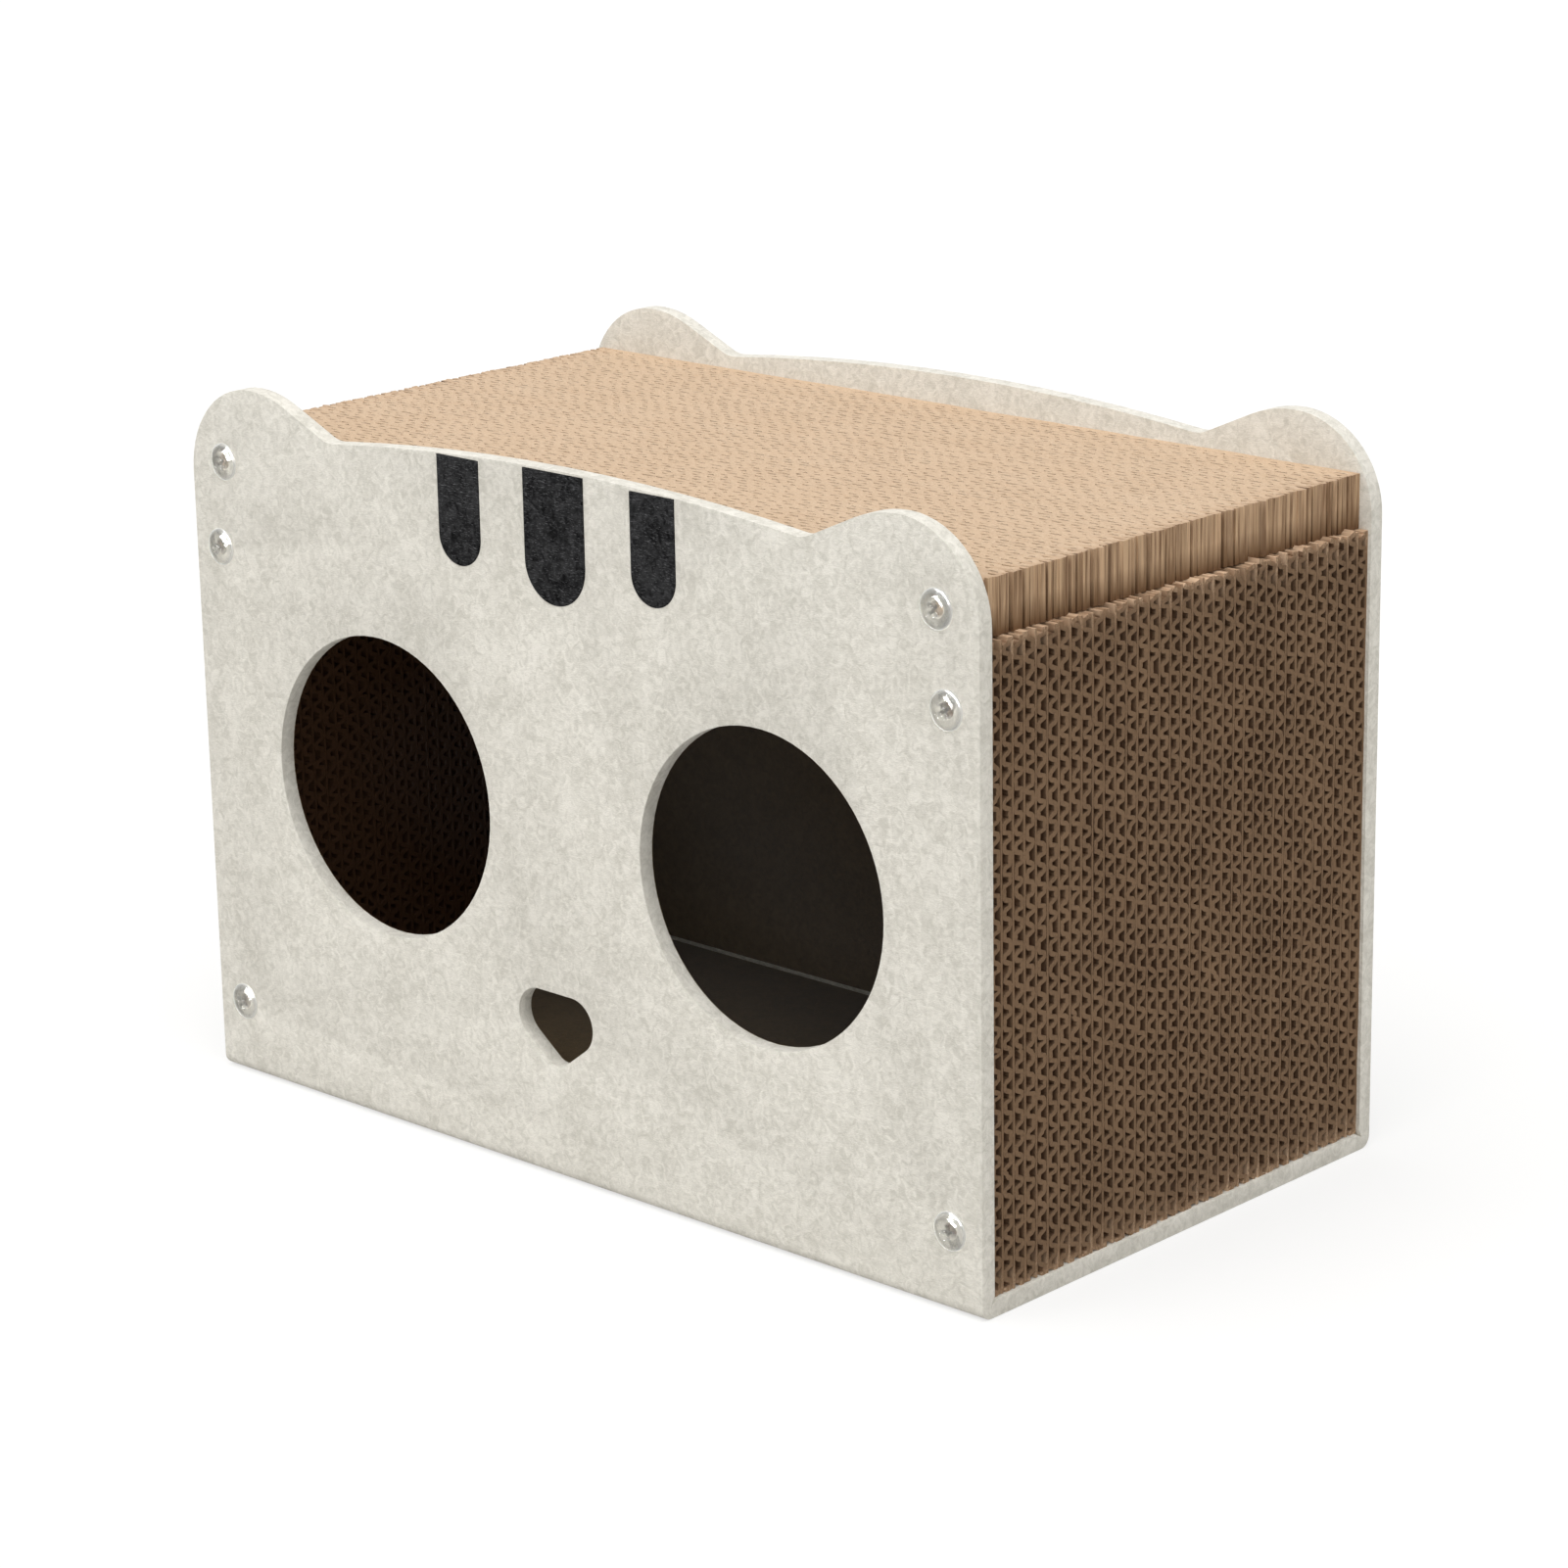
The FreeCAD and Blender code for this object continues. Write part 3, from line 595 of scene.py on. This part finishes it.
def makeBoardTree(ribbonTree):
    tree, sockets, given, result = newGeometryTree("corrugatedBoard", {
        "Strips": "Geometry", "Length": "Float", "Depth": "Float", "Flute Length": "Float",
        "Flute Step": "Float", "Flute Paper": "Float", "Liner Step": "Float", "Liner Paper": "Float",
        "Squareness": "Float", "Ripple": "Float", "Crush": "Float", "Sway": "Float", "Fray": "Float",
        "End Depth": "Float", "Seed": "Int", "Turn": "Vector", "Place": "Vector", "Paper Finish": "Material",
    })

    # waved strips and flat liners take steps of their own
    kinds = addNode(tree, "GeometryNodeSeparateGeometry", {
        "Geometry": given["Strips"],
        "Selection": calc(tree, "GREATER_THAN", carried(tree, "stripSwing"), 0.0),
    }, domain="POINT")
    parts = []
    for strips, step, paper in ((kinds.outputs[0], given["Flute Step"], given["Flute Paper"]),
                                (kinds.outputs[1], given["Liner Step"], given["Liner Paper"])):
        group = addNode(tree, "GeometryNodeGroup", node_tree=ribbonTree)
        for name, value in (("Strips", strips), ("Step", step), ("Paper", paper)):
            tree.links.new(value, group.inputs[name])
        for name in ("Length", "Depth", "Flute Length", "Squareness", "Ripple", "Crush", "Sway"):
            tree.links.new(given[name], group.inputs[name])
        parts.append(group.outputs[0])
    joined = tree.nodes.new("GeometryNodeJoinGeometry")
    for part in parts:
        tree.links.new(part, joined.inputs[0])

    # how near a point is to the cut faces and to the ends of its strip
    place = addNode(tree, "GeometryNodeInputPosition").outputs[0]
    apart = addNode(tree, "ShaderNodeSeparateXYZ", {"Vector": place}).outputs
    level = calc(tree, "DIVIDE", apart["Z"], calc(tree, "MULTIPLY", given["Depth"], 0.5))
    marked = store(tree, joined.outputs[0], "faceLevel", level, "POINT")
    halfLength = calc(tree, "MULTIPLY", given["Length"], 0.5)
    toEnd = calc(tree, "SUBTRACT", halfLength, calc(tree, "ABSOLUTE", apart["X"]))
    ending = calc(tree, "SUBTRACT", 1.0, calc(tree, "DIVIDE", toEnd, given["End Depth"]), clamp=True)
    marked = store(tree, marked, "stripEnd", ending, "POINT")

    # cut edges face up and down before the board is turned into place
    normal = addNode(tree, "GeometryNodeInputNormal").outputs[0]
    upward = addNode(tree, "ShaderNodeSeparateXYZ", {"Vector": normal}).outputs["Z"]
    facesOut = calc(tree, "GREATER_THAN", calc(tree, "ABSOLUTE", upward), 0.7)
    marked = store(tree, marked, "cutEdge", facesOut, "FACE")
    # wear takes a little off each cut edge
    worn = randomBetween(tree, calc(tree, "MULTIPLY", given["Fray"], -1.0), 0.0, given["Seed"])
    outward = calc(tree, "SIGN", apart["Z"])
    lift = addNode(tree, "ShaderNodeCombineXYZ", {"Z": calc(tree, "MULTIPLY", outward, worn)})
    torn = addNode(tree, "GeometryNodeSetPosition", {"Geometry": marked, "Offset": lift.outputs[0]})
    placed = addNode(tree, "GeometryNodeTransform", {
        "Geometry": torn.outputs[0], "Translation": given["Place"], "Rotation": given["Turn"],
    })
    finishTree(tree, placed.outputs[0], given["Paper Finish"], result)
    return tree, sockets


ribbonTree = makeRibbonTree()
boardTree, boardSockets = makeBoardTree(ribbonTree)


def addPointValues(mesh, values):
    for name, numbers in values.items():
        mesh.attributes.new(name, "FLOAT", "POINT").data.foreach_set("value", numbers)


def stripPoints(name, width, values, chance):
    # one point for each waved strip and each flat liner, with its own tone, phase and freedom to sway
    count = values["strips"]
    pitch = width / count
    points, swings, tones, phases, freedoms = [], [], [], [], []
    phase = chance.random()
    for number in range(2 * count + 1):
        waved = number % 2 == 1
        across = number / 2 * pitch - width / 2
        if number in (0, 2 * count):
            across += math.copysign(values["linerPaper"] / 2, -across)
        ahead = chance.uniform(-1, 1) * values["shuffle"]
        points.append((ahead, across, 0))
        swings.append((pitch - values["linerPaper"] - values["flutePaper"]) / 2 if waved else 0.0)
        tones.append(chance.random())
        phase += (values["fluteShift"] + chance.uniform(-1, 1) * values["shiftSpread"]) / 2
        phases.append(phase if waved else 0.0)
        freedoms.append(min(1.0, min(number, 2 * count - number) / 4))
    mesh = bpy.data.meshes.new(name)
    mesh.from_pydata(points, [], [])
    addPointValues(mesh, {
        "stripSwing": swings, "stripTone": tones, "stripPhase": phases, "stripFreedom": freedoms,
    })
    return mesh


def makeBoard(nodeName, pieceName, values, alongAxis, depthAxis, turn, material, seed):
    # the board is made flat, and turned so that the face that lay on top is the one towards the cabin
    low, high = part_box(nodeName)
    size = high - low
    mesh = stripPoints(pieceName, size.y, values, random.Random(seed))
    piece = bpy.data.objects.new(pieceName, mesh)
    scene.collection.objects.link(piece)
    modifier = piece.modifiers.new("strips", "NODES")
    modifier.node_group = boardTree
    inputs = {
        "Length": size[alongAxis],
        "Depth": size[depthAxis],
        "Flute Length": values["fluteLength"],
        "Flute Step": values["fluteLength"] / values["stepsPerFlute"],
        "Flute Paper": values["flutePaper"],
        "Liner Step": values["linerStep"],
        "Liner Paper": values["linerPaper"],
        "Squareness": values["squareness"],
        "Ripple": values["ripple"],
        "Crush": values["crush"],
        "Sway": values["sway"],
        "Fray": values["fray"],
        "End Depth": values["endDepth"],
        "Seed": seed,
        "Turn": [math.radians(angle) for angle in turn],
        "Place": list((low + high) / 2),
        "Paper Finish": material,
    }
    for name, value in inputs.items():
        modifier[boardSockets[name]] = value
    settle(piece)
    shadeSmooth(piece)
    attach(piece, "root")
    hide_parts(nodeName)
    print(pieceName, "made with", len(piece.data.polygons), "faces")


makeBoard("top_scratch_board", "topScratchBoard", topBoardValues,
          0, 2, (180, 0, 0), topPaper, 11)
makeBoard("left_side_board", "leftSideBoard", boardValues,
          2, 0, (0, 90, 0), shadedSidePaper, 12)
makeBoard("right_side_board", "rightSideBoard", boardValues,
          2, 0, (0, -90, 0), shadedSidePaper, 13)


# Clear board screws: a wide dished head with a cross recess, and a pointed shank

screwValues = {
    "headRadius": 7.8 * mm,
    "rimHeight": 0.9 * mm,
    "rimRound": 0.6 * mm,
    "rimFall": 0.45 * mm,
    "crownRadius": 3.6 * mm,
    "headHeight": 2.8 * mm,
    "dish": 0.35 * mm,
    "recessLength": 6.4 * mm,
    "recessWidth": 2.0 * mm,
    "recessDepth": 1.7 * mm,
    "recessSlope": 0.45 * mm,
    "seatRadius": 7.5 * mm,
    "seatRound": 0.15 * mm,
    "neckRadius": 3.5 * mm,
    "neckLength": 1.2 * mm,
    "shankRadius": 3.0 * mm,
    "length": 32 * mm,
    "tipLength": 6 * mm,
    "tipRadius": 0.8 * mm,
    # width of the painted highlight along the head's rim
    "highlightRimWidth": 2.2 * mm,
    "sides": 72,
    "rings": 26,
    "sharpAbove": 60,   # degrees
    "twistSeed": 7,
}


def headTop(radius, values):
    # height of the head above its seat, without the recess
    rim = values["headRadius"] - values["rimRound"]
    if radius >= rim:
        share = min(1.0, (radius - rim) / values["rimRound"])
        return values["rimHeight"] - values["rimFall"] * (1 - math.sqrt(max(0.0, 1 - share * share)))
    if radius >= values["crownRadius"]:
        share = (rim - radius) / (rim - values["crownRadius"])
        rise = values["headHeight"] - values["rimHeight"]
        return values["rimHeight"] + rise * math.sin(share * math.pi / 2)
    share = 1 - (radius / values["crownRadius"]) ** 2
    return values["headHeight"] - values["dish"] * share


def recessDepth(x, z, values):
    half = values["recessWidth"] / 2
    reach = values["recessLength"] / 2
    inside = max(min(half - abs(x), reach - abs(z)), min(half - abs(z), reach - abs(x)))
    share = min(1.0, max(0.0, inside / values["recessSlope"]))
    return values["recessDepth"] * share * share * (3 - 2 * share)


def makeScrewShape(values):
    # the seat lies at Y zero, the head towards minus Y and the shank towards plus Y
    head = values["headRadius"]
    shank = values["shankRadius"]
    rings = [
        (values["tipRadius"], values["length"]),
        (shank, values["length"] - values["tipLength"]),
        (shank, values["neckLength"]),
        (values["neckRadius"], 0.0),
        (values["seatRadius"], 0.0),
        (head, -values["seatRound"]),
    ]
    # the rings on top of the head have no place of their own: it follows from the dome and the recess
    rings += [(head * (1 - step / values["rings"]), None) for step in range(values["rings"])]
    shape = bmesh.new()
    loops = []
    for radius, along in rings:
        loop = []
        for side in range(values["sides"]):
            angle = 2 * math.pi * side / values["sides"]
            x = radius * math.cos(angle)
            z = radius * math.sin(angle)
            y = recessDepth(x, z, values) - headTop(radius, values) if along is None else along
            loop.append(shape.verts.new((x, y, z)))
        loops.append(loop)
    for loop, after in zip(loops, loops[1:]):
        for side in range(values["sides"]):
            other = (side + 1) % values["sides"]
            shape.faces.new((loop[side], loop[other], after[other], after[side]))
    for loop in (loops[0], loops[-1]):
        middle = shape.verts.new(sum((vert.co for vert in loop), Vector()) / len(loop))
        for side in range(values["sides"]):
            shape.faces.new((loop[side], loop[(side + 1) % values["sides"]], middle))
    bmesh.ops.recalc_face_normals(shape, faces=shape.faces)
    for face in shape.faces:
        face.smooth = True
    mesh = bpy.data.meshes.new("screwShape")
    shape.to_mesh(mesh)
    shape.free()
    # shares for the painted highlight on the rim and the painted shade in the recess
    rimHighlightShares, recessShadeShares = [], []
    for vert in mesh.vertices:
        x, y, z = vert.co
        rimHighlightShares.append(max(0.0, 1 - (head - vert.co.xz.length) / values["highlightRimWidth"]))
        onHead = y < -0.1 * mm
        recessShadeShares.append(recessDepth(x, z, values) / values["recessDepth"] if onHead else 0.0)
    addPointValues(mesh, {"rimHighlightShare": rimHighlightShares, "recessShadeShare": recessShadeShares})
    mesh.set_sharp_from_angle(angle=math.radians(values["sharpAbove"]))
    return bpy.data.objects.new("screwShape", mesh)


def makeScrewTree():
    # each screw is driven in by its own twist
    tree, sockets, given, result = newGeometryTree("boardScrews", {
        "Places": "Geometry", "Screw": "Object", "Seed": "Int", "Plastic": "Material",
    })
    screw = addNode(tree, "GeometryNodeObjectInfo", {"Object": given["Screw"]})
    twist = randomBetween(tree, 0.0, 2 * math.pi, given["Seed"])
    turn = addNode(tree, "ShaderNodeCombineXYZ", {"Y": twist, "Z": carried(tree, "facing")})
    screws = addNode(tree, "GeometryNodeInstanceOnPoints", {
        "Points": given["Places"], "Instance": screw.outputs["Geometry"], "Rotation": turn.outputs[0],
    })
    finishTree(tree, screws.outputs[0], given["Plastic"], result)
    return tree, sockets


def makeScrews():
    nodeNames = sorted(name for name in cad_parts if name.endswith("_screw"))
    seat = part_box("felt_wrap")
    places, facings = [], []
    for name in nodeNames:
        low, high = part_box(name)
        fromBack = name.startswith("back")
        places.append(((low.x + high.x) / 2, seat[1].y if fromBack else seat[0].y, (low.z + high.z) / 2))
        facings.append(math.pi if fromBack else 0.0)
    mesh = bpy.data.meshes.new("boardScrews")
    mesh.from_pydata(places, [], [])
    addPointValues(mesh, {"facing": facings})
    piece = bpy.data.objects.new("boardScrews", mesh)
    scene.collection.objects.link(piece)
    shape = makeScrewShape(screwValues)
    tree, sockets = makeScrewTree()
    modifier = piece.modifiers.new("screws", "NODES")
    modifier.node_group = tree
    modifier[sockets["Screw"]] = shape
    modifier[sockets["Seed"]] = screwValues["twistSeed"]
    modifier[sockets["Plastic"]] = clearPlastic
    settle(piece)
    bpy.data.objects.remove(shape)
    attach(piece, "root")
    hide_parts(*nodeNames)


makeScrews()
print("screws made")


# Floor, background and lamps

studioValues = {
    "floorHalfSize": 9,
    "floorDrop": 0.2 * mm,
    "floorColour": (0.57, 0.565, 0.55, 1),
    "floorShownPaint": 0.52,  # part of that colour which the camera sees, under the glow
    "floorGlow": 0.66,
    "sky": 0.5,
    "lamps": [
        # name, where it shines from, spread in degrees, strength
        ("overheadLamp", (0.05, -0.4, 1.0), 70, 2.72),
        ("rightLamp", (1.0, -0.3, 0.45), 60, 0.35),
    ],
    # a long lamp in front, which only glossy finishes answer to
    "sparkPlace": (-0.25, -2.2, 1.1),
    "sparkSize": (2.4, 1.0),
    "sparkTilt": -38,
    "sparkPower": 330,
}


def chooseBySight(tree, unseen, seen):
    # the camera, reflections and clear things get one shader, and the light that falls on the house the other
    path = tree.nodes.new("ShaderNodeLightPath")
    looking = calc(tree, "MAXIMUM", path.outputs["Is Camera Ray"], path.outputs["Is Glossy Ray"])
    looking = calc(tree, "MAXIMUM", looking, path.outputs["Is Transmission Ray"])
    choice = addNode(tree, "ShaderNodeMixShader")
    plug(tree, choice.inputs[0], looking)
    tree.links.new(unseen.outputs[0], choice.inputs[1])
    tree.links.new(seen.outputs[0], choice.inputs[2])
    return choice.outputs[0]


def makeFloor(values):
    reach = values["floorHalfSize"]
    corners = [(-reach, -reach, 0), (reach, -reach, 0), (reach, reach, 0), (-reach, reach, 0)]
    mesh = bpy.data.meshes.new("floor")
    mesh.from_pydata(corners, [], [(0, 1, 2, 3)])
    floor = bpy.data.objects.new("floor", mesh)
    scene.collection.objects.link(floor)
    floor.location.z = -values["floorDrop"]
    material = bpy.data.materials.new("floorPaint")
    material.use_nodes = True
    tree = material.node_tree
    tree.nodes.clear()
    paint = addNode(tree, "ShaderNodeBsdfDiffuse", {"Color": values["floorColour"]})
    shownColour = [level * values["floorShownPaint"] for level in values["floorColour"][:3]] + [1]
    shownPaint = addNode(tree, "ShaderNodeBsdfDiffuse", {"Color": shownColour})
    glow = addNode(tree, "ShaderNodeEmission", {"Color": (1, 1, 1, 1), "Strength": values["floorGlow"]})
    bright = addNode(tree, "ShaderNodeAddShader")
    tree.links.new(shownPaint.outputs[0], bright.inputs[0])
    tree.links.new(glow.outputs[0], bright.inputs[1])
    output = tree.nodes.new("ShaderNodeOutputMaterial")
    tree.links.new(chooseBySight(tree, paint, bright), output.inputs[0])
    mesh.materials.append(material)


def makeSky(values):
    world = bpy.data.worlds.new("sky")
    world.use_nodes = True
    tree = world.node_tree
    tree.nodes.clear()
    dim = addNode(tree, "ShaderNodeBackground", {"Color": (1, 1, 1, 1), "Strength": values["sky"]})
    white = addNode(tree, "ShaderNodeBackground", {"Color": (1, 1, 1, 1), "Strength": 1.0})
    output = tree.nodes.new("ShaderNodeOutputWorld")
    tree.links.new(chooseBySight(tree, dim, white), output.inputs[0])
    scene.world = world


def addLamp(name, kind, energy):
    lamp = bpy.data.lights.new(name, kind)
    lamp.energy = energy
    holder = bpy.data.objects.new(name, lamp)
    scene.collection.objects.link(holder)
    return lamp, holder


def makeLamps(values):
    for name, place, spread, strength in values["lamps"]:
        lamp, holder = addLamp(name, "SUN", strength)
        lamp.angle = math.radians(spread)
        holder.location = place
        holder.rotation_euler = (-Vector(place)).to_track_quat("-Z", "Y").to_euler()
    spark, holder = addLamp("sparkLamp", "AREA", values["sparkPower"])
    spark.shape = "RECTANGLE"
    spark.size, spark.size_y = values["sparkSize"]
    aim = (-Vector(values["sparkPlace"])).to_track_quat("-Z", "Y").to_matrix()
    tilt = Matrix.Rotation(math.radians(values["sparkTilt"]), 3, "Z")
    holder.matrix_world = Matrix.Translation(values["sparkPlace"]) @ (aim @ tilt).to_4x4()
    holder.visible_camera = False
    holder.visible_diffuse = False


makeFloor(studioValues)
makeSky(studioValues)
makeLamps(studioValues)
scene.view_settings.view_transform = "Standard"
print("studio made")
